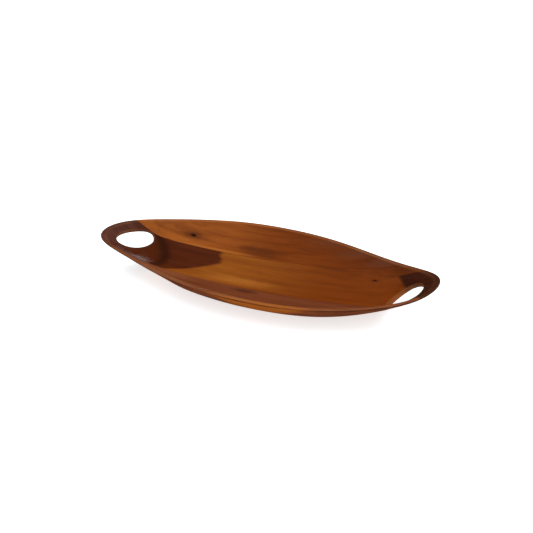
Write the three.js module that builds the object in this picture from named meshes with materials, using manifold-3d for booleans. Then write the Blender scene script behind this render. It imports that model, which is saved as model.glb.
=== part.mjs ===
// Carved wooden serving tray: a leaf-shaped dish with a hand-hole through each end.
//
// The blank is glued up edge to edge from three boards that run the length of the
// tray, then carved as one.  Units are millimetres, +Z is up, X runs along the tray,
// and the origin is on the table under the middle of the tray.  Half a turn about Z
// brings the tray back onto itself, so each formula is written for both ends at once.

import * as THREE from "three";
import { mergeVertices } from "three/addons/utils/BufferGeometryUtils.js";
import Module from "manifold-3d";

const wasm = await Module();
wasm.setup();

// ---- Sizes ------------------------------------------------------------------------

const tray = {
  length: 560,          // tip to tip
  width: 266,           // across the widest part, square to the length
  sway: 14.5,           // how far the middle line bows sideways between middle and tip
  thinning: 0.676,      // how much leaner than an ellipse the outline runs near its ends
};

const rim = {
  height: 41.5,         // top of the rim above the table, half way along
  tipRise: 11,          // how much higher the rim stands at the two tips
  riseSharpness: 4.5,   // the higher, the later the rim starts to rise
  width: 6.5,           // flat top of the rim
  edge: 1.5,            // upright outer edge under the rim, half way along
  edgeAtTips: 3.5,      // and at the tips
};

const hollow = {
  floor: 12,            // wood under the deepest point
  creaseFromTip: 66,    // distance from each tip to the crease where the end rises
  creaseHeight: 22.5,   // height of the floor at that crease
  creaseRadius: 1.5,    // softness of the crease
  bowl: 2.3,            // power of the cross-section in the middle
  bowlAtTips: 3.5,      // and at the tips, where it is flatter with a steeper wall
};

const underside = {
  endWall: 7,           // thickness of the two ends, where the hands grip
  trim: 1.4,            // planed off to make the flat foot
  floorPower: 3.3,      // the higher, the longer the foot
  bilge: 3.9,           // power of the cross-section in the middle, a full round bilge
  bilgeAtTips: 2.9,     // and at the tips
  bevel: 1.66,          // slope of the outer wall under the rim, half way along
  bevelAtTips: 0.37,    // and at the tips, where it is a shallow bevel
  turnRadius: 0.8,      // softness of the turn between the bevel and the bilge
};

const handHole = {
  fromTip: 45,          // distance from the tip to the hole's centre
  offset: 19.5,         // sideways, toward the side that the tip bows to
  length: 73,           // across the hand
  width: 42,            // along the fingers
  turn: 25,             // degrees away from square across the tray
};

const glue = {
  farSeam: 56,          // glue planes between the boards, measured from the middle line
  nearSeam: -50,
  gap: 0.3,             // clearance between boards
};

// How finely the surfaces are divided.
const mesh = { around: 128, ringsInside: 15, ringsUnder: 13, holePoints: 40 };

// ---- Outline ----------------------------------------------------------------------

const halfLength = tray.length / 2;
const halfWidth = tray.width / 2;

// The middle line swings to one side and back: x - x^5 has its greatest value, 0.535,
// at x = 0.669, so dividing by it makes `sway` the true sideways distance.
const swingPeak = 0.535;

function middleLine(x) {
  const along = x / halfLength;
  return (tray.sway * (along ** 5 - along)) / swingPeak;
}

// Half the width of a leaf with half-length `reach` and half-width `beam`.
function leafHalfWidth(x, reach, beam) {
  const along = Math.min(Math.abs(x) / reach, 1);
  const across2 = 1 - along * along;
  return beam * Math.sqrt(across2) * (1 - tray.thinning * along ** 3 * across2);
}

const outer = { reach: halfLength, beam: halfWidth };
const inner = { reach: halfLength - rim.width, beam: halfWidth - rim.width };

function rimHeight(x) {
  return rim.height + rim.tipRise * Math.min(Math.abs(x) / halfLength, 1) ** rim.riseSharpness;
}

const tipHeight = rimHeight(halfLength);
const creaseAt = halfLength - hollow.creaseFromTip;

// Angle of the straight rise from the crease to the tip.
const endSlope = Math.atan2(tipHeight - hollow.creaseHeight, inner.reach - creaseAt);

// ---- Surfaces ---------------------------------------------------------------------

function blend(middle, tips, x, power) {
  return middle + (tips - middle) * (Math.abs(x) / halfLength) ** power;
}

// The larger of two heights, with a rounded change from one to the other.
function roundedMax(a, b, radius) {
  const half = (a - b) / 2;
  return (a + b) / 2 + Math.sqrt(half * half + radius * radius) - radius;
}

// Height of the hollow along the middle line: a long shallow floor, then a crease,
// then a straight rise to the tip.
function hollowLine(x) {
  const away = Math.abs(x);
  const deepening = (away / creaseAt) ** 2;
  const floor = hollow.floor + (hollow.creaseHeight - hollow.floor) * deepening;
  const toTip = (away - creaseAt) / (inner.reach - creaseAt);
  const ramp = hollow.creaseHeight + (tipHeight - hollow.creaseHeight) * toTip;
  return Math.min(roundedMax(floor, ramp, hollow.creaseRadius), rimHeight(x));
}

function hollowHeight(x, side) {
  const middle = hollowLine(x);
  const across = Math.min(Math.abs(side) / Math.max(leafHalfWidth(x, inner.reach, inner.beam), 1e-6), 1);
  return middle + (rimHeight(x) - middle) * across ** blend(hollow.bowl, hollow.bowlAtTips, x, 2);
}

// Height of the underside along the middle line, before the foot is planed flat.
function undersideLine(x) {
  const away = Math.abs(x);
  const creaseHeight = hollow.creaseHeight - underside.endWall / Math.cos(endSlope);
  const tipUnder = tipHeight - rim.edgeAtTips;
  if (away < creaseAt) {
    const lift = (away / creaseAt) ** underside.floorPower;
    return (creaseHeight + underside.trim) * lift - underside.trim;
  }
  const toTip = (away - creaseAt) / (outer.reach - creaseAt);
  return creaseHeight + (tipUnder - creaseHeight) * toTip;
}

function undersideHeight(x, side) {
  const middle = undersideLine(x);
  const edge = rimHeight(x) - blend(rim.edge, rim.edgeAtTips, x, 1);
  const reach = Math.max(leafHalfWidth(x, outer.reach, outer.beam), 1e-6);
  const fromEdge = Math.max(reach - Math.abs(side), 0);
  const across = 1 - fromEdge / reach;
  const bilge = middle + (edge - middle) * across ** blend(underside.bilge, underside.bilgeAtTips, x, 1);
  const bevel = edge - fromEdge * blend(underside.bevel, underside.bevelAtTips, x, 0.5);
  return roundedMax(bilge, bevel, underside.turnRadius);
}

// ---- The carved body, as one closed mesh ------------------------------------------

// One loop of points: a leaf outline shrunk by `share`, at the height of a surface.
function ring(leaf, share, heightAt) {
  const points = [];
  for (let i = 0; i < mesh.around; i += 1) {
    const angle = (2 * Math.PI * i) / mesh.around;
    const leafX = leaf.reach * Math.cos(angle);
    const x = leafX * share;
    const side = leafHalfWidth(leafX, leaf.reach, leaf.beam) * Math.sign(Math.sin(angle)) * share;
    points.push([x, side + middleLine(x), heightAt(x, side)]);
  }
  return points;
}

// Rings from the middle of the hollow out over the rim and back under to the middle.
function bodyRings() {
  const rings = [];
  for (let i = 1; i <= mesh.ringsInside; i += 1) {
    rings.push(ring(inner, i / mesh.ringsInside, hollowHeight));
  }
  rings.push(ring(outer, 1, rimHeight));
  for (let i = mesh.ringsUnder; i >= 1; i -= 1) {
    rings.push(ring(outer, i / mesh.ringsUnder, undersideHeight));
  }
  return rings;
}

function bodyGeometry() {
  const rings = bodyRings();
  const positions = [[0, 0, hollowHeight(0, 0)], ...rings.flat(), [0, 0, undersideHeight(0, 0)]];
  const last = positions.length - 1;
  const at = (ringIndex, step) => 1 + ringIndex * mesh.around + (step % mesh.around);
  const triangles = [];
  for (let step = 0; step < mesh.around; step += 1) {
    triangles.push(0, at(0, step), at(0, step + 1));
    for (let r = 0; r < rings.length - 1; r += 1) {
      triangles.push(at(r, step), at(r + 1, step), at(r + 1, step + 1));
      triangles.push(at(r, step), at(r + 1, step + 1), at(r, step + 1));
    }
    triangles.push(last, at(rings.length - 1, step + 1), at(rings.length - 1, step));
  }
  const geometry = new THREE.BufferGeometry();
  geometry.setAttribute("position", new THREE.Float32BufferAttribute(positions.flat(), 3));
  geometry.setIndex(triangles);
  return geometry;
}

// ---- Solids -----------------------------------------------------------------------

function toSolid(geometry) {
  const bare = geometry.clone();
  bare.deleteAttribute("normal");
  bare.deleteAttribute("uv");
  const merged = mergeVertices(bare, 1e-5);
  return new wasm.Manifold(new wasm.Mesh({
    numProp: 3,
    vertProperties: new Float32Array(merged.getAttribute("position").array),
    triVerts: new Uint32Array(merged.getIndex().array),
  }));
}

function toGeometry(solid) {
  const result = solid.getMesh();
  const geometry = new THREE.BufferGeometry();
  geometry.setAttribute("position", new THREE.Float32BufferAttribute(result.vertProperties, 3));
  geometry.setIndex(new THREE.BufferAttribute(new Uint32Array(result.triVerts), 1));
  geometry.computeVertexNormals();
  return geometry;
}

function boxSolid(low, high) {
  const size = high.map((value, axis) => value - low[axis]);
  const box = new THREE.BoxGeometry(...size);
  box.translate(...low.map((value, axis) => value + size[axis] / 2));
  return toSolid(box);
}

// The hand-hole's outline, an ellipse with its length across the tray.
function handHoleShape() {
  const outline = new THREE.EllipseCurve(0, 0, handHole.width / 2, handHole.length / 2);
  return new THREE.Shape(outline.getPoints(mesh.holePoints).slice(1));
}

// A plug that cuts one hand-hole square through the sloping end.  `end` is 1 or -1.
function handHolePlug(end) {
  const depth = 80;
  const holeCentre = halfLength - handHole.fromTip;
  const plug = new THREE.ExtrudeGeometry(handHoleShape(), { depth, bevelEnabled: false });
  plug.translate(0, 0, -depth / 2);
  plug.rotateZ(-THREE.MathUtils.degToRad(handHole.turn));
  plug.rotateY(-endSlope);
  plug.translate(holeCentre, -handHole.offset, hollowLine(holeCentre));
  if (end < 0) {
    plug.rotateZ(Math.PI);
  }
  return toSolid(plug);
}

function carvedBody() {
  const clear = 20;
  const far = halfLength + halfWidth;
  const belowTable = boxSolid([-far, -far, -clear], [far, far, 0]);
  return toSolid(bodyGeometry())
    .subtract(belowTable)
    .subtract(handHolePlug(1))
    .subtract(handHolePlug(-1));
}

// ---- Boards -----------------------------------------------------------------------

const boards = [
  {
    name: "far_board",
    from: glue.farSeam + glue.gap / 2,
    to: tray.width,
    colour: 0x9a5c35,
  },
  {
    name: "middle_board",
    from: glue.nearSeam + glue.gap / 2,
    to: glue.farSeam - glue.gap / 2,
    colour: 0x8c4f22,
  },
  {
    name: "near_board",
    from: -tray.width,
    to: glue.nearSeam - glue.gap / 2,
    colour: 0x7d452b,
  },
];

function boardMesh(body, board) {
  const slab = boxSolid([-tray.length, board.from, -1], [tray.length, board.to, tipHeight + 1]);
  const material = new THREE.MeshStandardMaterial({
    color: board.colour,
    roughness: 0.38,
    metalness: 0,
  });
  const result = new THREE.Mesh(toGeometry(body.intersect(slab)), material);
  result.name = board.name;
  return result;
}

const body = carvedBody();
const carvedTray = new THREE.Group();
carvedTray.name = "carved_tray";
for (const board of boards) {
  carvedTray.add(boardMesh(body, board));
}

export default carvedTray;
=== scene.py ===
"""Carved wooden serving tray: a leaf-shaped dish with a hand-hole through each raised end.

Three boards are glued edge to edge and carved as one.  The carved skin is built here as
one fine mesh with softened edges, then sawn along the two glue planes, so that every
board is a piece of its own with its own wood.  All lengths are in metres.
"""
import math

import bmesh
import bpy
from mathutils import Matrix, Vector, noise
from mathutils.geometry import delaunay_2d_cdt


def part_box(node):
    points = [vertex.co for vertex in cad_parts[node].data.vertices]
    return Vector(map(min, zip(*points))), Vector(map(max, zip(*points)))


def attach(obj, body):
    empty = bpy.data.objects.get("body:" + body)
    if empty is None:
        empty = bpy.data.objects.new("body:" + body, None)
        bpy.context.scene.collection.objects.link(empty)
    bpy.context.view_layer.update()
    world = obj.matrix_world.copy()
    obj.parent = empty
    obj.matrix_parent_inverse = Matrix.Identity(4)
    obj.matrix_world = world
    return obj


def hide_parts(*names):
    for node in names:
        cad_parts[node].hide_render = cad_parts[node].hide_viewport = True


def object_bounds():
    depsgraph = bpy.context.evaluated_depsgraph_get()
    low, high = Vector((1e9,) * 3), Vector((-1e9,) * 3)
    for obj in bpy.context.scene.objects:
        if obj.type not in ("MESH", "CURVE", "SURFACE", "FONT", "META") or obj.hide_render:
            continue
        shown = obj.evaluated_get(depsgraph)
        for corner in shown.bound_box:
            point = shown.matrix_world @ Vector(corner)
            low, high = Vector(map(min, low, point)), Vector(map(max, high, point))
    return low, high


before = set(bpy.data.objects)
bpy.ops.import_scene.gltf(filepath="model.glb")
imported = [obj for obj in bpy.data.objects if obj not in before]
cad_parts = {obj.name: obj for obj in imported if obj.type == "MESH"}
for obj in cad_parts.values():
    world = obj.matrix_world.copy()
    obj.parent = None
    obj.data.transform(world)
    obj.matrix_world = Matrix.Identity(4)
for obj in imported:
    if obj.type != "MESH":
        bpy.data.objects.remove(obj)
cad_low, cad_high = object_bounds()

# ---- Sizes ---------------------------------------------------------------------------

HALF_LENGTH = (cad_high.x - cad_low.x) / 2
TIP_HEIGHT = cad_high.z
BEAM = 0.475 * HALF_LENGTH            # half the width of the leaf, square to its length
SWAY = 0.0145                         # how far the middle line bows between middle and tip
SWING_PEAK = 0.535                    # greatest value of x - x^5
THINNING = 0.676                      # how much leaner than an ellipse the outline runs

RIM_RISE = 0.011                      # how much higher the rim stands at the tips
RIM_HEIGHT = TIP_HEIGHT - RIM_RISE
RIM_SHARPNESS = 4.5                   # the higher, the later the rim starts to rise
RIM_WIDTH = 0.0065
RIM_EDGE = 0.0015                     # upright outer edge half way along
RIM_EDGE_TIPS = 0.0035                # and at the tips

FLOOR = 0.012                         # wood under the deepest point
CREASE_AT = HALF_LENGTH - 0.066       # where each end starts to rise
CREASE_HEIGHT = 0.0225
CREASE_RADIUS = 0.0015
BOWL = 2.3                            # power of the cross-section in the middle
BOWL_TIPS = 3.5                       # and at the tips

END_WALL = 0.007                      # thickness of the two ends
TRIM = 0.0014                         # planed off to make the flat foot
FLOOR_POWER = 3.3
BILGE = 3.9                           # power of the underside's cross-section
BILGE_TIPS = 2.9
BEVEL = 1.66                          # slope of the outer wall under the rim
BEVEL_TIPS = 0.37                     # and at the tips, where it is a shallow bevel
TURN_RADIUS = 0.0008                  # softness of the turn between bevel and bilge

HOLE_FROM_TIP = 0.045
HOLE_OFFSET = 0.0195
HOLE_LENGTH = 0.073
HOLE_WIDTH = 0.042
HOLE_TURN = math.radians(25)

SOFT_RIM_INSIDE = 0.0022              # how far each edge is rounded back
SOFT_RIM_OUTSIDE = 0.0020
SOFT_UNDER = 0.0030
SOFT_HOLE_TOP = 0.0018
SOFT_HOLE_UNDER = 0.0010

CARVING_SWELL = 0.00035               # slow unevenness left by hand carving
CARVING_STRIDE = 0.055                # distance over which it changes
CARVING_SEED = 3.7
CARVING_FADE = 4                      # power with which it dies out toward the rim

FAR_SEAM = (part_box("middle_board")[1].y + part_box("far_board")[0].y) / 2
NEAR_SEAM = (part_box("near_board")[1].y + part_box("middle_board")[0].y) / 2

GLUE_LINE = 0.0006                    # greatest width of the dark line at each seam
WEAR_AND_PAINTED_LIGHT_LAYER = "edge_wear"              # above 0 rubbed pale, which is wear and a painted highlight; below 0 painted shade under the rim's outer edge
RIM_WEAR_AND_HIGHLIGHT = 1.0                        # how pale the top of the rim is: wear and a painted highlight
RIM_WEAR_AND_HIGHLIGHT_TIPS = 0.2
RIM_WEAR_AND_HIGHLIGHT_FADE = 4                     # the higher, the later it fades toward the tips
# The hand-holes' cut edges are paler: wear and a painted highlight.
HOLE_WEAR_AND_HIGHLIGHT = 0.9
# Painted shade on the rim's outer edge and under it: a dark line.
UNDER_RIM_SHADE = -1

OUTLINE_STEPS = 480
GRID_STEP = 0.0026
HOLE_STEPS = 120
FILLET_STEPS = 5
WALL_STEPS = 4
EDGE_CLEARANCE = 0.6 * GRID_STEP      # kept free of grid points along every loop
PLAN_REACH = 1.1 * BEAM               # the sway carries the plan a little past the beam
SEARCH_REACH = 0.03                   # how far from a hole's middle its edges may lie
HALVINGS = 32
SAME_POINT = 1e-7
SHARP_ANGLE = math.radians(50)

# ---- The carved shape ------------------------------------------------------------------


def middle_line(x):
    along = x / HALF_LENGTH
    return SWAY * (along ** 5 - along) / SWING_PEAK


def leaf_half_width(x, reach, beam):
    along = min(abs(x) / reach, 1)
    across2 = 1 - along * along
    return beam * math.sqrt(across2) * (1 - THINNING * along ** 3 * across2)


OUTER = (HALF_LENGTH, BEAM)
INNER = (HALF_LENGTH - RIM_WIDTH, BEAM - RIM_WIDTH)
END_SLOPE = math.atan2(TIP_HEIGHT - CREASE_HEIGHT, INNER[0] - CREASE_AT)


def blend(middle, tips, x, power):
    return middle + (tips - middle) * (abs(x) / HALF_LENGTH) ** power


def rounded_max(a, b, radius):
    half = (a - b) / 2
    return (a + b) / 2 + math.sqrt(half * half + radius * radius) - radius


def rim_height(x):
    return RIM_HEIGHT + RIM_RISE * min(abs(x) / HALF_LENGTH, 1) ** RIM_SHARPNESS


def rim_top(x, side):
    """The rim's height as a surface: the same on both sides of the middle line."""
    return rim_height(x)


def hollow_line(x):
    away = abs(x)
    floor = FLOOR + (CREASE_HEIGHT - FLOOR) * (away / CREASE_AT) ** 2
    to_tip = (away - CREASE_AT) / (INNER[0] - CREASE_AT)
    ramp = CREASE_HEIGHT + (TIP_HEIGHT - CREASE_HEIGHT) * to_tip
    return min(rounded_max(floor, ramp, CREASE_RADIUS), rim_height(x))


def share_across(x, side, leaf):
    return min(abs(side) / max(leaf_half_width(x, *leaf), 1e-6), 1)


def carving_swell(x, y):
    place = Vector((x / (2 * CARVING_STRIDE), y / CARVING_STRIDE, CARVING_SEED))
    return CARVING_SWELL * noise.noise(place)


def hollow_height(x, side):
    middle = hollow_line(x)
    across = share_across(x, side, INNER)
    rise = (rim_height(x) - middle) * across ** blend(BOWL, BOWL_TIPS, x, 2)
    fade = 1 - across ** CARVING_FADE
    return middle + rise + fade * carving_swell(x, side)


def underside_line(x):
    away = abs(x)
    crease = CREASE_HEIGHT - END_WALL / math.cos(END_SLOPE)
    if away < CREASE_AT:
        return (crease + TRIM) * (away / CREASE_AT) ** FLOOR_POWER - TRIM
    to_tip = (away - CREASE_AT) / (OUTER[0] - CREASE_AT)
    return crease + (TIP_HEIGHT - RIM_EDGE_TIPS - crease) * to_tip


def underside_height(x, side):
    middle = underside_line(x)
    edge = rim_height(x) - blend(RIM_EDGE, RIM_EDGE_TIPS, x, 1)
    reach = max(leaf_half_width(x, *OUTER), 1e-6)
    from_edge = max(reach - abs(side), 0)
    across = 1 - from_edge / reach
    bilge = middle + (edge - middle) * across ** blend(BILGE, BILGE_TIPS, x, 1)
    bevel = edge - from_edge * blend(BEVEL, BEVEL_TIPS, x, 0.5)
    return max(rounded_max(bilge, bevel, TURN_RADIUS), 0)


# ---- Loops of points ---------------------------------------------------------------------


def leaf_point(leaf, angle, share, height_at):
    """A point on a leaf outline shrunk by share, at the height of a surface."""
    leaf_x = leaf[0] * math.cos(angle)
    x = leaf_x * share
    side = leaf_half_width(leaf_x, *leaf) * math.copysign(1, math.sin(angle)) * share
    return Vector((x, side + middle_line(x), height_at(x, side)))


def soft_corner(a, corner, b, wear=1.0):
    """Points from a round to b, bending near the corner, each with its share of edge marks: wear and
    painted highlight above 0, painted shade below 0.
    """
    points = []
    for i in range(FILLET_STEPS + 1):
        t = i / FILLET_STEPS
        point = a * (1 - t) ** 2 + corner * (2 * t * (1 - t)) + b * t ** 2
        points.append((point, wear * math.sin(math.pi * t)))
    return points


def rim_section(angle):
    """The rim's cross-section from the hollow, over the top and under to the underside."""
    reach_in = leaf_half_width(0, *INNER)
    inside = leaf_point(INNER, angle, 1 - SOFT_RIM_INSIDE / reach_in, hollow_height)
    inner_edge = leaf_point(INNER, angle, 1, rim_top)
    outer_edge = leaf_point(OUTER, angle, 1, rim_top)
    lower_edge = leaf_point(OUTER, angle, 1, underside_height)
    under = leaf_point(OUTER, angle, 1 - SOFT_UNDER / BEAM, underside_height)
    top = outer_edge - inner_edge
    first = inner_edge + top * (SOFT_RIM_INSIDE / RIM_WIDTH)
    second = outer_edge - top * (SOFT_RIM_OUTSIDE / RIM_WIDTH)
    waist = (outer_edge + lower_edge) / 2
    # The rim's top is paler: wear and a painted highlight along the rim.
    rubbed_and_lit = blend(RIM_WEAR_AND_HIGHLIGHT, RIM_WEAR_AND_HIGHLIGHT_TIPS, outer_edge.x, RIM_WEAR_AND_HIGHLIGHT_FADE)
    points = soft_corner(inside, inner_edge, first, rubbed_and_lit)
    points.append(((first + second) / 2, rubbed_and_lit))
    points += soft_corner(second, outer_edge, waist, rubbed_and_lit)[:-1]
    # Painted shade from the middle of the rim's outer edge down under it.
    points.append((waist, UNDER_RIM_SHADE))
    return points + soft_corner(waist, lower_edge, under, UNDER_RIM_SHADE)[1:]


def hole_axes(end):
    """Centre of a hand-hole, its two in-plane axes and the direction out of its top."""
    centre_x = HALF_LENGTH - HOLE_FROM_TIP
    centre = Vector((centre_x, -HOLE_OFFSET, hollow_line(centre_x)))
    slope = Vector((math.cos(END_SLOPE), 0, math.sin(END_SLOPE)))
    across = Vector((0, 1, 0))
    normal = slope.cross(across)
    cosine, sine = math.cos(HOLE_TURN), math.sin(HOLE_TURN)
    along_hand = slope * cosine - across * sine
    across_hand = slope * sine + across * cosine
    half_turn = Vector((end, end, 1))
    return [v * half_turn for v in (centre, along_hand, across_hand, normal)]


def height_over(surface, point):
    """How far a point stands above a surface given as a height for each x and side."""
    return point.z - surface(point.x, point.y - middle_line(point.x))


def meet_surface(start, direction, surface):
    """Distance along direction from start to the surface."""
    low, high = -SEARCH_REACH, SEARCH_REACH
    for _ in range(HALVINGS):
        middle = (low + high) / 2
        if height_over(surface, start + direction * middle) > 0:
            high = middle
        else:
            low = middle
    return (low + high) / 2


def hole_section(end, angle):
    """The hole's cut edge from the hollow, down through the wood to the underside."""
    centre, along_hand, across_hand, normal = hole_axes(end)
    half_width, half_length = HOLE_WIDTH / 2, HOLE_LENGTH / 2
    outward = along_hand * (math.cos(angle) * half_length)
    outward = (outward + across_hand * (math.sin(angle) * half_width)).normalized()
    on_edge = centre + along_hand * (half_width * math.cos(angle))
    on_edge = on_edge + across_hand * (half_length * math.sin(angle))

    def on(surface, away):
        start = on_edge + outward * away
        return start + normal * meet_surface(start, normal, surface)

    top_out, top = on(hollow_height, SOFT_HOLE_TOP), on(hollow_height, 0)
    under_out, under = on(underside_height, SOFT_HOLE_UNDER), on(underside_height, 0)
    wall_top = top - normal * SOFT_HOLE_TOP
    wall_under = under + normal * SOFT_HOLE_UNDER
    # The hole's cut edge is paler: wear and a painted highlight.
    points = soft_corner(top_out, top, wall_top, HOLE_WEAR_AND_HIGHLIGHT)
    for i in range(1, WALL_STEPS):
        points.append((wall_top.lerp(wall_under, i / WALL_STEPS), HOLE_WEAR_AND_HIGHLIGHT))
    return points + soft_corner(wall_under, under, under_out, HOLE_WEAR_AND_HIGHLIGHT)


# ---- Sheets between the loops ---------------------------------------------------------------


def inside_loop(point, loop):
    crossings = False
    last = loop[-1]
    for here in loop:
        if (here.y > point.y) != (last.y > point.y):
            reach = (last.x - here.x) * (point.y - here.y) / (last.y - here.y) + here.x
            if point.x < reach:
                crossings = not crossings
        last = here
    return crossings


def grown(loop, distance):
    """A plan loop moved outward by a distance, inward if it is negative."""
    centre = sum(loop, Vector((0, 0))) / len(loop)
    result = []
    for i, here in enumerate(loop):
        tangent = loop[(i + 1) % len(loop)] - loop[i - 1]
        outward = Vector((tangent.y, -tangent.x)).normalized()
        if outward.dot(here - centre) < 0:
            outward = -outward
        result.append(here + outward * distance)
    return result


def sheet_points(outer_loop, hole_loops):
    """Grid points in plan inside the outer loop and clear of the holes."""
    fence = grown(outer_loop, -EDGE_CLEARANCE)
    gaps = [grown(loop, EDGE_CLEARANCE) for loop in hole_loops]
    points = []
    columns = int(HALF_LENGTH / GRID_STEP) + 1
    rows = int(PLAN_REACH / GRID_STEP) + 1
    for i in range(-columns, columns + 1):
        for j in range(-rows, rows + 1):
            point = Vector((i * GRID_STEP, (j + 0.5 * (i % 2)) * GRID_STEP))
            if not inside_loop(point, fence):
                continue
            if any(inside_loop(point, gap) for gap in gaps):
                continue
            points.append(point)
    return points


def add_sheet(body, outer_verts, hole_verts, surface, facing_up):
    """Fills a surface between vertices that are already in the mesh."""
    outer_loop = [v.co.xy for v in outer_verts]
    hole_loops = [[v.co.xy for v in verts] for verts in hole_verts]
    plan, verts, edges = [], [], []
    for ring in [outer_verts] + hole_verts:
        start = len(plan)
        plan += [v.co.xy for v in ring]
        verts += ring
        edges += [(start + i, start + (i + 1) % len(ring)) for i in range(len(ring))]
    for point in sheet_points(outer_loop, hole_loops):
        plan.append(point)
        height = surface(point.x, point.y - middle_line(point.x))
        verts.append(body.verts.new((point.x, point.y, height)))
    _, _, faces, origins, _, _ = delaunay_2d_cdt(plan, edges, [], 1, SAME_POINT)
    for face in faces:
        corners = [origins[i][0] for i in face]
        middle = sum((plan[i] for i in corners), Vector((0, 0))) / len(corners)
        if any(inside_loop(middle, loop) for loop in hole_loops):
            continue
        a, b, c = (plan[i] for i in corners[:3])
        turns_left = (b - a).cross(c - b) > 0
        if turns_left != facing_up:
            corners.reverse()
        body.faces.new([verts[i] for i in corners])


def add_strips(body, sections):
    """Joins neighbouring cross-sections into a closed band and returns its two rims."""
    wear = body.verts.layers.float[WEAR_AND_PAINTED_LIGHT_LAYER]
    rows = []
    for section in sections:
        row = []
        for point, share in section:
            vertex = body.verts.new(point)
            vertex[wear] = share
            row.append(vertex)
        rows.append(row)
    for i, row in enumerate(rows):
        following = rows[(i + 1) % len(rows)]
        for j in range(len(row) - 1):
            body.faces.new((row[j], row[j + 1], following[j + 1], following[j]))
    return [row[0] for row in rows], [row[-1] for row in rows]


def carved_body():
    """The whole tray as one closed skin."""
    body = bmesh.new()
    body.verts.layers.float.new(WEAR_AND_PAINTED_LIGHT_LAYER)
    turns = [2 * math.pi * i / OUTLINE_STEPS for i in range(OUTLINE_STEPS)]
    rim_inside, rim_under = add_strips(body, [rim_section(a) for a in turns])
    tops, unders = [], []
    hole_turns = [2 * math.pi * i / HOLE_STEPS for i in range(HOLE_STEPS)]
    for end in (1, -1):
        top, under = add_strips(body, [hole_section(end, a) for a in hole_turns])
        tops.append(top)
        unders.append(under)
    add_sheet(body, rim_inside, tops, hollow_height, True)
    add_sheet(body, rim_under, unders, underside_height, False)
    bmesh.ops.recalc_face_normals(body, faces=body.faces)
    return body


# ---- Sawing the body into boards ----------------------------------------------------------------


def saw(board, seam, keep_far_side):
    """Cuts a board square at a glue plane and closes the cut."""
    geometry = list(board.verts) + list(board.edges) + list(board.faces)
    cut = bmesh.ops.bisect_plane(
        board,
        geom=geometry,
        dist=SAME_POINT,
        plane_co=(0, seam, 0),
        plane_no=(0, 1, 0),
        clear_outer=not keep_far_side,
        clear_inner=keep_far_side,
    )
    edges = [e for e in cut["geom_cut"] if isinstance(e, bmesh.types.BMEdge)]
    facing = Vector((0, -1 if keep_far_side else 1, 0))
    bmesh.ops.triangle_fill(board, edges=edges, use_beauty=True, normal=facing)


def board_object(body, name, cuts, material):
    board = body.copy()
    for seam, keep_far_side in cuts:
        saw(board, seam, keep_far_side)
    bmesh.ops.recalc_face_normals(board, faces=board.faces)
    mesh = bpy.data.meshes.new(name)
    board.to_mesh(mesh)
    board.free()
    mesh.shade_smooth()
    mesh.set_sharp_from_angle(angle=SHARP_ANGLE)
    mesh.materials.append(material)
    result = bpy.data.objects.new(name, mesh)
    bpy.context.scene.collection.objects.link(result)
    return result


# ---- Node building --------------------------------------------------------------------------------


def node(tree, kind, **settings):
    made = tree.nodes.new(kind)
    for name, value in settings.items():
        setattr(made, name, value)
    return made


def feed(tree, socket, value):
    """Joins an output to a socket, or sets a plain number on it."""
    if isinstance(value, bpy.types.NodeSocket):
        tree.links.new(value, socket)
    else:
        socket.default_value = value


def calc(tree, operation, *values):
    made = node(tree, "ShaderNodeMath", operation=operation)
    for socket, value in zip(made.inputs, values):
        feed(tree, socket, value)
    return made.outputs[0]


def calc_vector(tree, operation, *values):
    made = node(tree, "ShaderNodeVectorMath", operation=operation)
    for socket, value in zip(made.inputs, values):
        feed(tree, socket, value)
    return made.outputs["Value" if operation == "LENGTH" else "Vector"]


def ramp(tree, value, low, high, to_low=0.0, to_high=1.0):
    """Carries value smoothly from to_low to to_high as it goes from low to high."""
    made = node(tree, "ShaderNodeMapRange", interpolation_type="SMOOTHSTEP")
    for socket, number in zip(made.inputs, (value, low, high, to_low, to_high)):
        feed(tree, socket, number)
    return made.outputs["Result"]


def noise_value(tree, place, stretch, detail=2.0, roughness=0.5):
    """Noise that repeats over about 1/stretch metres along each axis."""
    made = node(tree, "ShaderNodeTexNoise")
    feed(tree, made.inputs["Vector"], calc_vector(tree, "MULTIPLY", place, stretch))
    made.inputs["Scale"].default_value = 1.0
    made.inputs["Detail"].default_value = detail
    made.inputs["Roughness"].default_value = roughness
    return made.outputs["Fac"]


def mix_colour(tree, share, first, second, blend_type="MIX"):
    made = node(tree, "ShaderNodeMix", data_type="RGBA", blend_type=blend_type)
    feed(tree, made.inputs[0], share)
    feed(tree, made.inputs[6], first)
    feed(tree, made.inputs[7], second)
    return made.outputs[2]


def new_group(name, inputs, outputs):
    """A node group whose inputs and outputs are given as {name: kind of socket}."""
    tree = bpy.data.node_groups.new(name, "ShaderNodeTree")
    for label, kind in inputs.items():
        tree.interface.new_socket(name=label, in_out="INPUT", socket_type="NodeSocket" + kind)
    for label, kind in outputs.items():
        tree.interface.new_socket(name=label, in_out="OUTPUT", socket_type="NodeSocket" + kind)
    return tree, node(tree, "NodeGroupInput").outputs, node(tree, "NodeGroupOutput").inputs


def use_group(tree, group, **values):
    """Places a group in a material.  Socket names are given with _ for a space."""
    made = node(tree, "ShaderNodeGroup", node_tree=group)
    for label, value in values.items():
        feed(tree, made.inputs[label.replace("_", " ")], value)
    return made.outputs


# ---- Effects that the three boards share ------------------------------------------------------------


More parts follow.
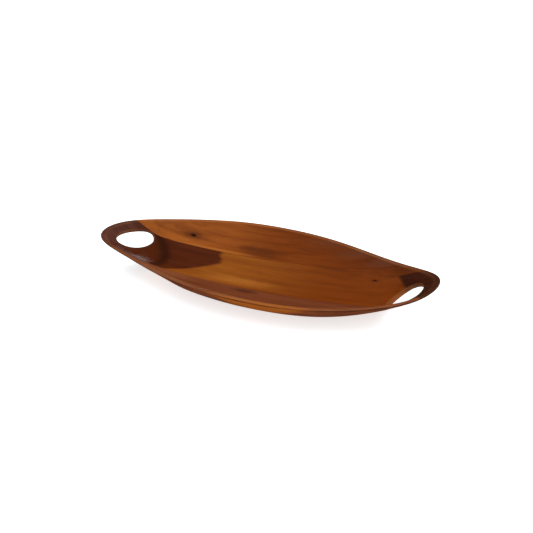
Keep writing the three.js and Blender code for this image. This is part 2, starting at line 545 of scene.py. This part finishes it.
def growth_rings_group():
    """Rings round a pith line that runs along the board, with bands that wander."""
    tree, given, put = new_group(
        "growth_rings",
        {"Place": "Vector", "Pith": "Vector", "Ring Width": "Float", "Wander": "Float"},
        {"Rings": "Float", "Distance": "Float"},
    )
    wave = noise_value(tree, given["Place"], (5.0, 16.0, 16.0), 3.0)
    shift = calc(tree, "MULTIPLY", calc(tree, "SUBTRACT", wave, 0.5), given["Wander"])
    from_pith = calc_vector(tree, "SUBTRACT", given["Place"], given["Pith"])
    flat = calc_vector(tree, "MULTIPLY", from_pith, (0.03, 1.0, 1.0))
    distance = calc(tree, "ADD", calc_vector(tree, "LENGTH", flat), shift)
    turn = calc(tree, "FRACT", calc(tree, "DIVIDE", distance, given["Ring Width"]))
    late = calc(tree, "POWER", turn, 2.2)
    rings = calc(tree, "MULTIPLY", late, ramp(tree, turn, 0.86, 1.0, 1.0, 0.0))
    feed(tree, put["Rings"], rings)
    feed(tree, put["Distance"], distance)
    return tree


def fibres_group():
    """Long fibre streaks, slow drifts of tone and short dark pores along the grain."""
    tree, given, put = new_group(
        "fibres",
        {"Place": "Vector", "Lot": "Vector"},
        {"Streaks": "Float", "Drift": "Float", "Pores": "Float"},
    )
    place = calc_vector(tree, "ADD", given["Place"], given["Lot"])
    bend = noise_value(tree, place, (7.0, 24.0, 24.0), 1.0)
    sideways = calc(tree, "MULTIPLY", calc(tree, "SUBTRACT", bend, 0.5), 0.012)
    push = node(tree, "ShaderNodeCombineXYZ")
    feed(tree, push.inputs["Y"], sideways)
    feed(tree, push.inputs["Z"], sideways)
    bent = calc_vector(tree, "ADD", place, push.outputs["Vector"])
    streaks = ramp(tree, noise_value(tree, bent, (14.0, 420.0, 420.0), 4.0, 0.6), 0.3, 0.7)
    broad = noise_value(tree, bent, (6.0, 70.0, 70.0), 3.0)
    drift = ramp(tree, broad, 0.32, 0.68)
    spots = noise_value(tree, bent, (150.0, 2200.0, 2200.0), 1.0)
    feed(tree, put["Streaks"], streaks)
    feed(tree, put["Drift"], drift)
    feed(tree, put["Pores"], ramp(tree, spots, 0.66, 0.74))
    return tree


def tint_patch_group():
    """A soft-edged patch: 1 inside an ellipsoid of the given size, 0 well outside it."""
    tree, given, put = new_group(
        "tint_patch",
        {"Place": "Vector", "Centre": "Vector", "Size": "Vector", "Softness": "Float"},
        {"Mask": "Float"},
    )
    offset = calc_vector(tree, "SUBTRACT", given["Place"], given["Centre"])
    share = calc_vector(tree, "LENGTH", calc_vector(tree, "DIVIDE", offset, given["Size"]))
    ragged = noise_value(tree, given["Place"], (60.0, 130.0, 130.0), 3.0)
    ragged = calc(tree, "MULTIPLY", calc(tree, "SUBTRACT", ragged, 0.5), 0.9)
    share = calc(tree, "ADD", share, ragged)
    end = calc(tree, "ADD", 1.0, given["Softness"])
    start = calc(tree, "SUBTRACT", 1.0, given["Softness"])
    feed(tree, put["Mask"], ramp(tree, share, start, end, 1.0, 0.0))
    return tree


def glue_line_group():
    """A hair-thin dark line where the board meets the next one."""
    tree, given, put = new_group(
        "glue_line", {"Place": "Vector", "Seam": "Float"}, {"Line": "Float"}
    )
    split = node(tree, "ShaderNodeSeparateXYZ")
    feed(tree, split.inputs["Vector"], given["Place"])
    away = calc(tree, "ABSOLUTE", calc(tree, "SUBTRACT", split.outputs["Y"], given["Seam"]))
    waver = noise_value(tree, given["Place"], (45.0, 45.0, 45.0), 2.0)
    width = calc(tree, "MULTIPLY", waver, GLUE_LINE)
    feed(tree, put["Line"], ramp(tree, calc(tree, "DIVIDE", away, width), 0.5, 1.6, 1.0, 0.0))
    return tree


def lacquer_group():
    """Satin lacquer: uneven gloss, dulled by handling, over a faint raised grain."""
    tree, given, put = new_group(
        "lacquer",
        {"Place": "Vector", "Gloss": "Float", "Pores": "Float", "Streaks": "Float", "Wear": "Float"},
        {"Roughness": "Float", "Height": "Float"},
    )
    cloudy = noise_value(tree, given["Place"], (22.0, 30.0, 30.0), 3.0)
    smears = noise_value(tree, given["Place"], (160.0, 420.0, 420.0), 2.0)
    rough = calc(tree, "ADD", given["Gloss"], calc(tree, "MULTIPLY", cloudy, 0.12))
    rough = calc(tree, "ADD", rough, calc(tree, "MULTIPLY", smears, 0.06))
    rough = calc(tree, "ADD", rough, calc(tree, "MULTIPLY", given["Pores"], 0.15))
    rough = calc(tree, "SUBTRACT", rough, calc(tree, "MULTIPLY", given["Wear"], 0.08))
    ripple = noise_value(tree, given["Place"], (35.0, 70.0, 70.0), 2.0)
    height = calc(tree, "MULTIPLY", ripple, 0.6)
    height = calc(tree, "ADD", height, calc(tree, "MULTIPLY", given["Streaks"], 0.18))
    height = calc(tree, "SUBTRACT", height, calc(tree, "MULTIPLY", given["Pores"], 0.25))
    feed(tree, put["Roughness"], rough)
    feed(tree, put["Height"], height)
    return tree


def worn_and_lit_edge_group():
    """Where hands have rubbed the rim and the hand-holes, in uneven patches, with a painted highlight on
    those edges and painted shade under the rim's outer edge.
    """
    tree, given, put = new_group(
        "worn_and_lit_edge", {"Place": "Vector"}, {"Wear": "Float", "Under Rim Shade": "Float"}
    )
    edge = node(tree, "ShaderNodeAttribute", attribute_name=WEAR_AND_PAINTED_LIGHT_LAYER)
    uneven = ramp(tree, noise_value(tree, given["Place"], (28.0, 28.0, 28.0), 3.0), 0.25, 0.7)
    strength = calc(tree, "ADD", calc(tree, "MULTIPLY", uneven, 0.6), 0.4)
    worn_and_lit = calc(tree, "MAXIMUM", edge.outputs["Fac"], 0.0)
    under_rim_shade = calc(tree, "MAXIMUM", calc(tree, "MULTIPLY", edge.outputs["Fac"], -1.0), 0.0)
    feed(tree, put["Wear"], calc(tree, "MULTIPLY", worn_and_lit, strength))
    feed(tree, put["Under Rim Shade"], calc(tree, "MULTIPLY", under_rim_shade, strength))
    return tree


GROWTH_RINGS = growth_rings_group()
FIBRES = fibres_group()
TINT_PATCH = tint_patch_group()
GLUE_LINE_MARK = glue_line_group()
LACQUER = lacquer_group()
WORN_AND_LIT_EDGE = worn_and_lit_edge_group()

# ---- Woods --------------------------------------------------------------------------------------------


def shade(red, green, blue):
    """A colour from its everyday 0 to 255 values."""
    def straight(value):
        part = value / 255
        return part / 12.92 if part <= 0.04045 else ((part + 0.055) / 1.055) ** 2.4
    return (straight(red), straight(green), straight(blue), 1)


SATIN = 0.28                          # least roughness of the lacquer
LACQUER_IOR = 1.46
LACQUER_SHINE = 0.1                   # share of the full highlight that shows
GRAIN_DEPTH = 0.0004
GRAIN_STRENGTH = 0.35
PORE_SHARE = 0.45                     # how strongly each mark covers the wood
GLUE_SHARE = 0.7
# Worn edges are paler with wear and a painted highlight.
WEAR_AND_HIGHLIGHT_SHARE = 0.42
# Painted shade under the rim's outer edge.
UNDER_RIM_SHADE_SHARE = 0.85
PORE_BROWN = shade(40, 20, 12)
GLUE_BROWN = shade(38, 18, 10)
WORN_AND_HIGHLIGHT_TAN = shade(182, 120, 74)
# Brown of the painted shade under the rim's outer edge.
UNDER_RIM_SHADE_BROWN = shade(58, 24, 6)
KNOT_HALO = shade(84, 38, 14)
KNOT_BLACK = shade(30, 14, 8)
# Mauve of the painted sheen under the far rim.
SHEEN_MAUVE = shade(108, 58, 34)
PATCH_BROWN = shade(88, 40, 12)
STREAK_BROWN = shade(90, 42, 12)
# Brown of the painted shade band near the left crease.
CREASE_SHADE_BROWN = shade(46, 18, 8)
STRIP_GOLD = shade(176, 102, 32)
BRIGHT_GOLD = shade(176, 106, 38)
# Paler brown of the painted sheen on the near board's inner wall.
SHEEN_PALE_BROWN = shade(150, 88, 52)
DARK_HEART = shade(66, 32, 20)
SOFT = 0.8                            # softness of most tinted patches, painted sheen among them

TROUGH_START = -0.085                 # the heartwood lies above this trough
TROUGH_HEIGHT = 0.012
TROUGH_SLOPE = 0.0567                 # rise along the tray
TROUGH_AXIS = 0.02                    # line of its lowest points across the tray
TROUGH_CURVE = 3.0
TROUGH_RAGGED = 0.0022
HEART_FRONT = 0.2135                  # where the heartwood starts at the right end
HEART_FRONT_SLANT = 0.5
HEART_FRONT_SOFT = 0.007
HEART_FAR_EDGE = 0.041                # its edge along the board there
HEART_WAVER = 0.008

BAND_AT = -0.166                      # the painted shade band near the left crease
BAND_AXIS = -0.025
BAND_BOW = 6.8
BAND_STRENGTH = 0.75

SAP_RADIUS = 0.066                    # the near board is sapwood beyond this radius
SAP_BLEND = 0.008
SAP_MIDDLE = 0.065                    # and only near this place along the tray
SAP_REACH = 0.09
SAP_END = 0.15

FAR_KNOT = ((-0.156, 0.080, 0.026), 0.0038)       # centre and radius
MIDDLE_KNOT = ((0.177, 0.032, 0.022), 0.0024)

# Soft patches of other tones: centre, half size and strength of each.
# The mauve streaks under the far rim are painted sheen.
PAINTED_SHEEN_STREAKS = [
    ((0.095, 0.107, 0.037), (0.040, 0.008, 0.02), 0.6),
    ((0.150, 0.086, 0.038), (0.040, 0.009, 0.02), 0.8),
    ((0.197, 0.066, 0.040), (0.035, 0.009, 0.02), 0.9),
    ((-0.200, 0.090, 0.040), (0.040, 0.012, 0.02), 0.15),
]
BROWN_PATCHES = [
    ((-0.155, 0.080, 0.026), (0.027, 0.009, 0.02), 0.6),
    ((-0.027, 0.073, 0.020), (0.030, 0.012, 0.02), 0.65),
    ((-0.055, 0.078, 0.022), (0.014, 0.006, 0.02), 0.4),
]
DARK_STREAKS = [
    ((0.106, 0.053, 0.019), (0.020, 0.003, 0.02), 0.5),
    ((0.124, 0.050, 0.020), (0.016, 0.003, 0.02), 0.4),
    ((0.140, 0.042, 0.020), (0.014, 0.003, 0.02), 0.4),
    ((0.112, 0.036, 0.018), (0.012, 0.002, 0.02), 0.3),
    ((0.203, 0.041, 0.026), (0.010, 0.0015, 0.02), 0.7),
    ((0.234, 0.049, 0.044), (0.030, 0.010, 0.03), 0.7),
]


class Wood:
    """One board's material while it is being put together."""

    def __init__(self, name, lot, pith, ring_width, wander):
        self.material = bpy.data.materials.new(name)
        self.material.use_nodes = True
        self.tree = self.material.node_tree
        self.shader = self.tree.nodes["Principled BSDF"]
        self.place = node(self.tree, "ShaderNodeTexCoord").outputs["Object"]
        split = node(self.tree, "ShaderNodeSeparateXYZ")
        feed(self.tree, split.inputs["Vector"], self.place)
        self.x, self.y, self.z = split.outputs
        rings = use_group(
            self.tree, GROWTH_RINGS, Place=self.place, Pith=pith, Ring_Width=ring_width, Wander=wander
        )
        self.rings, self.from_pith = rings["Rings"], rings["Distance"]
        fibres = use_group(self.tree, FIBRES, Place=self.place, Lot=lot)
        self.streaks, self.drift, self.pores = fibres["Streaks"], fibres["Drift"], fibres["Pores"]
        # Edge marks: wear with a painted highlight, and painted shade under the rim.
        edges = use_group(self.tree, WORN_AND_LIT_EDGE, Place=self.place)
        self.wear, self.under_rim_shade = edges["Wear"], edges["Under Rim Shade"]

    def figured(self, light, dark, ring_share=0.2, drift_share=0.45, streak_share=0.35):
        """A colour between light and dark that follows the rings, drifts and streaks."""
        tree = self.tree
        share = calc(tree, "MULTIPLY", self.rings, ring_share)
        share = calc(tree, "ADD", share, calc(tree, "MULTIPLY", self.drift, drift_share))
        share = calc(tree, "ADD", share, calc(tree, "MULTIPLY", self.streaks, streak_share))
        return mix_colour(tree, share, light, dark)

    def tinted(self, colour, tint, centre, size, softness, strength=1.0):
        """Lays a soft patch of tint over a colour."""
        mask = use_group(
            self.tree, TINT_PATCH, Place=self.place, Centre=centre, Size=size, Softness=softness
        )["Mask"]
        return mix_colour(self.tree, calc(self.tree, "MULTIPLY", mask, strength), colour, tint)

    def knot(self, colour, centre, radius):
        """A small dark knot with a soft halo drawn out along the grain."""
        deep = 0.02
        halo = (radius * 3.0, radius * 1.5, deep)
        colour = self.tinted(colour, KNOT_HALO, centre, halo, SOFT, 0.45)
        heart = (radius * 1.3, radius * 0.7, deep)
        return self.tinted(colour, KNOT_BLACK, centre, heart, 0.5)

    def finish(self, colour, seams):
        """Adds pores, glue lines, worn edges with their painted highlight, painted shade under the rim,
        and lacquer, and joins all to the shader.
        """
        tree = self.tree
        pore_share = calc(tree, "MULTIPLY", self.pores, PORE_SHARE)
        colour = mix_colour(tree, pore_share, colour, PORE_BROWN)
        for seam in seams:
            line = use_group(tree, GLUE_LINE_MARK, Place=self.place, Seam=seam)["Line"]
            glue_share = calc(tree, "MULTIPLY", line, GLUE_SHARE)
            colour = mix_colour(tree, glue_share, colour, GLUE_BROWN)
        # Worn edges: wear and a painted highlight on the rim and the hand-holes.
        worn_and_lit_share = calc(tree, "MULTIPLY", self.wear, WEAR_AND_HIGHLIGHT_SHARE)
        colour = mix_colour(tree, worn_and_lit_share, colour, WORN_AND_HIGHLIGHT_TAN)
        # Painted shade under the rim's outer edge.
        under_rim_shade_share = calc(tree, "MULTIPLY", self.under_rim_shade, UNDER_RIM_SHADE_SHARE)
        colour = mix_colour(tree, under_rim_shade_share, colour, UNDER_RIM_SHADE_BROWN)
        finish = use_group(
            tree,
            LACQUER,
            Place=self.place,
            Gloss=SATIN,
            Pores=self.pores,
            Streaks=self.streaks,
            Wear=self.wear,
        )
        bump = node(tree, "ShaderNodeBump")
        bump.inputs["Strength"].default_value = GRAIN_STRENGTH
        bump.inputs["Distance"].default_value = GRAIN_DEPTH
        feed(tree, bump.inputs["Height"], finish["Height"])
        feed(tree, self.shader.inputs["Base Color"], colour)
        feed(tree, self.shader.inputs["Roughness"], finish["Roughness"])
        feed(tree, self.shader.inputs["Normal"], bump.outputs["Normal"])
        self.shader.inputs["IOR"].default_value = LACQUER_IOR
        self.shader.inputs["Specular IOR Level"].default_value = LACQUER_SHINE
        return self.material


def along_board(wood, start, end):
    """0 at start and 1 at end, measured along the tray."""
    return ramp(wood.tree, wood.x, start, end)


def far_board_wood():
    """Golden brown, darker toward the right, a mauve painted sheen under the rim, one knot in the wall.
    """
    wood = Wood("far_board_wood", lot=(1.7, 0.4, 0.2), pith=(0, 0.21, -0.05),
                ring_width=0.013, wander=0.05)
    left = wood.figured(shade(170, 93, 30), shade(134, 64, 16))
    middle = wood.figured(shade(136, 63, 6), shade(104, 44, 3))
    right = wood.figured(shade(122, 54, 5), shade(96, 39, 3))
    colour = mix_colour(wood.tree, along_board(wood, -0.17, 0.02), left, middle)
    colour = mix_colour(wood.tree, along_board(wood, 0.0, 0.12), colour, right)
    # Painted sheen: mauve streaks under the far rim.
    for centre, size, strength in PAINTED_SHEEN_STREAKS:
        colour = wood.tinted(colour, SHEEN_MAUVE, centre, size, SOFT, strength)
    pale_strip = (-0.095, 0.0595, 0.020)
    colour = wood.tinted(colour, STRIP_GOLD, pale_strip, (0.055, 0.0035, 0.02), SOFT, 0.7)
    for centre, size, strength in BROWN_PATCHES:
        colour = wood.tinted(colour, PATCH_BROWN, centre, size, SOFT, strength)
    colour = wood.knot(colour, *FAR_KNOT)
    return wood.finish(colour, [FAR_SEAM])


def middle_board_wood():
    """Golden brown sapwood over a core of dark heartwood that shows at both ends."""
    wood = Wood("middle_board_wood", lot=(0.3, 2.2, 0.9), pith=(0, 0.03, 0.16),
                ring_width=0.016, wander=0.05)
    tree = wood.tree
    left = wood.figured(shade(152, 84, 20), shade(118, 57, 10))
    right = wood.figured(shade(128, 58, 6), shade(104, 45, 4))
    golden = mix_colour(tree, along_board(wood, -0.08, 0.14), left, right)
    bright = (-0.03, -0.025, 0.012)
    golden = wood.tinted(golden, BRIGHT_GOLD, bright, (0.05, 0.012, 0.02), SOFT, 0.6)
    for centre, size, strength in DARK_STREAKS:
        golden = wood.tinted(golden, STREAK_BROWN, centre, size, SOFT, strength)
    golden = wood.knot(golden, *MIDDLE_KNOT)
    core = wood.figured(shade(92, 39, 15), shade(63, 25, 8))
    toward_tip = wood.figured(shade(98, 55, 42), shade(68, 36, 29))
    from_middle = calc(tree, "ABSOLUTE", wood.x)
    core = mix_colour(tree, ramp(tree, from_middle, 0.215, 0.262), core, toward_tip)
    # Painted shade: a curved dark band near the left crease.
    core = mix_colour(tree, crease_shade_band(wood), core, CREASE_SHADE_BROWN)
    at_right = wood.figured(shade(74, 32, 15), shade(48, 19, 8))
    core = mix_colour(tree, along_board(wood, 0.1, 0.11), core, at_right)
    colour = mix_colour(tree, heart_mask(wood), golden, core)
    return wood.finish(colour, [FAR_SEAM, NEAR_SEAM])


def heart_mask(wood):
    """Heartwood above a slowly rising trough at the left, and past a front at the right."""
    tree = wood.tree
    waver = noise_value(tree, wood.place, (26.0, 60.0, 60.0), 3.0)
    from_start = calc(tree, "SUBTRACT", wood.x, TROUGH_START)
    along = calc(tree, "MULTIPLY", from_start, TROUGH_SLOPE)
    across = calc(tree, "POWER", calc(tree, "SUBTRACT", wood.y, TROUGH_AXIS), 2.0)
    sides = calc(tree, "MULTIPLY", across, TROUGH_CURVE)
    top = calc(tree, "ADD", calc(tree, "ADD", TROUGH_HEIGHT, along), sides)
    ragged = calc(tree, "MULTIPLY", calc(tree, "SUBTRACT", waver, 0.5), TROUGH_RAGGED)
    above = calc(tree, "SUBTRACT", wood.z, calc(tree, "ADD", top, ragged))
    left_half = ramp(tree, wood.x, -0.01, 0.01, 1.0, 0.0)
    at_left = calc(tree, "MULTIPLY", ramp(tree, above, -0.0003, 0.0007), left_half)

    from_edge = calc(tree, "SUBTRACT", wood.y, HEART_FAR_EDGE)
    slanted = calc(tree, "MULTIPLY", from_edge, HEART_FRONT_SLANT)
    ragged = calc(tree, "MULTIPLY", waver, HEART_WAVER)
    front = calc(tree, "ADD", calc(tree, "ADD", wood.x, slanted), ragged)
    at_right = ramp(tree, front, HEART_FRONT, HEART_FRONT + HEART_FRONT_SOFT)
    near_side = ramp(tree, from_edge, -0.0005, 0.0005, 1.0, 0.0)
    return calc(tree, "MAXIMUM", at_left, calc(tree, "MULTIPLY", at_right, near_side))


def crease_shade_band(wood):
    """A curved dark band of painted shade that crosses the heartwood near the left crease."""
    tree = wood.tree
    bow = calc(tree, "POWER", calc(tree, "SUBTRACT", wood.y, BAND_AXIS), 2.0)
    line = calc(tree, "SUBTRACT", BAND_AT, calc(tree, "MULTIPLY", bow, BAND_BOW))
    away = calc(tree, "ABSOLUTE", calc(tree, "SUBTRACT", wood.x, line))
    return calc(tree, "MULTIPLY", ramp(tree, away, 0.0015, 0.016, 1.0, 0.0), BAND_STRENGTH)


def near_board_wood():
    """Reddish brown heartwood, with golden sapwood on the outside near the middle, and a painted sheen
    on the inner wall toward the left end.
    """
    wood = Wood("near_board_wood", lot=(4.1, 0.9, 3.3), pith=(0, -0.06, 0.06),
                ring_width=0.014, wander=0.03)
    heart = wood.figured(shade(130, 68, 38), shade(94, 46, 26))
    sap = wood.figured(shade(168, 90, 24), shade(130, 65, 16))
    outside = ramp(wood.tree, wood.from_pith, SAP_RADIUS, SAP_RADIUS + SAP_BLEND)
    from_middle = calc(wood.tree, "SUBTRACT", wood.x, SAP_MIDDLE)
    from_middle = calc(wood.tree, "ABSOLUTE", from_middle)
    toward_ends = wood.figured(shade(104, 54, 32), shade(74, 39, 25))
    past_sap = ramp(wood.tree, from_middle, SAP_REACH, SAP_END)
    outer = mix_colour(wood.tree, past_sap, sap, toward_ends)
    colour = mix_colour(wood.tree, outside, heart, outer)
    # Painted sheen: a paler patch on the inner wall toward the left end.
    painted_sheen_end = (-0.135, -0.068, 0.03)
    colour = wood.tinted(colour, SHEEN_PALE_BROWN, painted_sheen_end, (0.04, 0.02, 0.02), SOFT, 0.55)
    dark_spot = (-0.002, -0.063, 0.017)
    colour = wood.tinted(colour, DARK_HEART, dark_spot, (0.018, 0.009, 0.01), SOFT, 0.7)
    return wood.finish(colour, [NEAR_SEAM])


def add_board(body, name, cad_node, cuts, material):
    board = board_object(body, name, cuts, material)
    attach(board, "root")
    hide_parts(cad_node)


body = carved_body()
add_board(body, "far_board_wood", "far_board", [(FAR_SEAM, True)],
          far_board_wood())
add_board(body, "middle_board_wood", "middle_board", [(FAR_SEAM, False), (NEAR_SEAM, True)],
          middle_board_wood())
add_board(body, "near_board_wood", "near_board", [(NEAR_SEAM, False)],
          near_board_wood())
body.free()

# ---- Studio ------------------------------------------------------------------------------------------

CAMERA_AROUND = math.radians(21.247)  # to the right of square on to the near side
CAMERA_ABOVE = math.radians(26)
CAMERA_DISTANCE = 4.606 * HALF_LENGTH
CAMERA_LENS = 54.63
AIM = Vector((0.014, 0.056, 0.084)) * HALF_LENGTH
FLOOR_GLOW = 0.68                     # light the floor gives off, beside what it returns
ROOM_LIGHT = 0.52                     # even light from all round
CEILING_WASH = 1.8                    # broad light from above, without a highlight
BACK_PANEL = 4.0                      # panels behind the tray that show in the gloss
LEFT_PANEL = 1.5


def add_camera():
    data = bpy.data.cameras.new("camera")
    data.lens = CAMERA_LENS
    data.sensor_width = 36
    camera = bpy.data.objects.new("camera", data)
    level = math.cos(CAMERA_ABOVE)
    back = Vector((
        math.sin(CAMERA_AROUND) * level,
        -math.cos(CAMERA_AROUND) * level,
        math.sin(CAMERA_ABOVE),
    ))
    camera.location = AIM + back * CAMERA_DISTANCE
    camera.rotation_mode = "QUATERNION"
    camera.rotation_quaternion = (-back).to_track_quat("-Z", "Y")
    bpy.context.scene.collection.objects.link(camera)
    bpy.context.scene.camera = camera


def from_compass(around, above):
    """Direction toward a point at a compass angle (0 is behind, 90 to the right)."""
    turn, height = math.radians(around), math.radians(above)
    level = math.cos(height)
    return Vector((math.sin(turn) * level, math.cos(turn) * level, math.sin(height)))


def add_light(name, kind, toward, distance, power):
    data = bpy.data.lights.new(name, kind)
    data.energy = power
    light = bpy.data.objects.new(name, data)
    light.location = toward * distance
    light.rotation_mode = "QUATERNION"
    light.rotation_quaternion = (-toward).to_track_quat("-Z", "Y")
    bpy.context.scene.collection.objects.link(light)
    return light


def add_wash(name, toward, power, softness):
    """A broad light that shades the wood without showing in its gloss."""
    light = add_light(name, "SUN", toward, 3, power)
    light.data.angle = math.radians(softness)
    light.visible_glossy = False


def add_softbox(name, toward, distance, size, power):
    """A panel that shows in the gloss."""
    light = add_light(name, "AREA", toward, distance, power)
    light.visible_camera = False
    light.data.shape = "RECTANGLE"
    light.data.size, light.data.size_y = size


def add_floor():
    """A wide pale floor that glows a little, as a lit table does."""
    reach = 12.0
    plane = bmesh.new()
    corners = [(-reach, -reach), (reach, -reach), (reach, reach), (-reach, reach)]
    plane.faces.new([plane.verts.new((x, y, 0)) for x, y in corners])
    mesh = bpy.data.meshes.new("floor")
    plane.to_mesh(mesh)
    plane.free()
    material = bpy.data.materials.new("pale_floor")
    material.use_nodes = True
    shader = material.node_tree.nodes["Principled BSDF"]
    shader.inputs["Base Color"].default_value = (0.79, 0.89, 0.92, 1)
    shader.inputs["Roughness"].default_value = 0.9
    shader.inputs["Specular IOR Level"].default_value = 0.1
    shader.inputs["Emission Color"].default_value = (1, 1, 1, 1)
    shader.inputs["Emission Strength"].default_value = FLOOR_GLOW
    mesh.materials.append(material)
    floor = bpy.data.objects.new("floor", mesh)
    floor.visible_glossy = False
    bpy.context.scene.collection.objects.link(floor)


def light_room():
    world = bpy.data.worlds.new("room")
    bpy.context.scene.world = world
    world.use_nodes = True
    world.cycles_visibility.glossy = False
    background = world.node_tree.nodes["Background"]
    background.inputs["Color"].default_value = (1, 1, 1, 1)
    background.inputs["Strength"].default_value = ROOM_LIGHT
    add_wash("ceiling_wash", from_compass(40, 75), CEILING_WASH, 110)
    add_softbox("back_panel", from_compass(-36, 0), 2.4, (0.9, 0.3), BACK_PANEL)
    add_softbox("left_panel", from_compass(14, 33), 2.4, (0.8, 0.5), LEFT_PANEL)


add_camera()
add_floor()
light_room()
bpy.context.scene.view_settings.view_transform = "Standard"
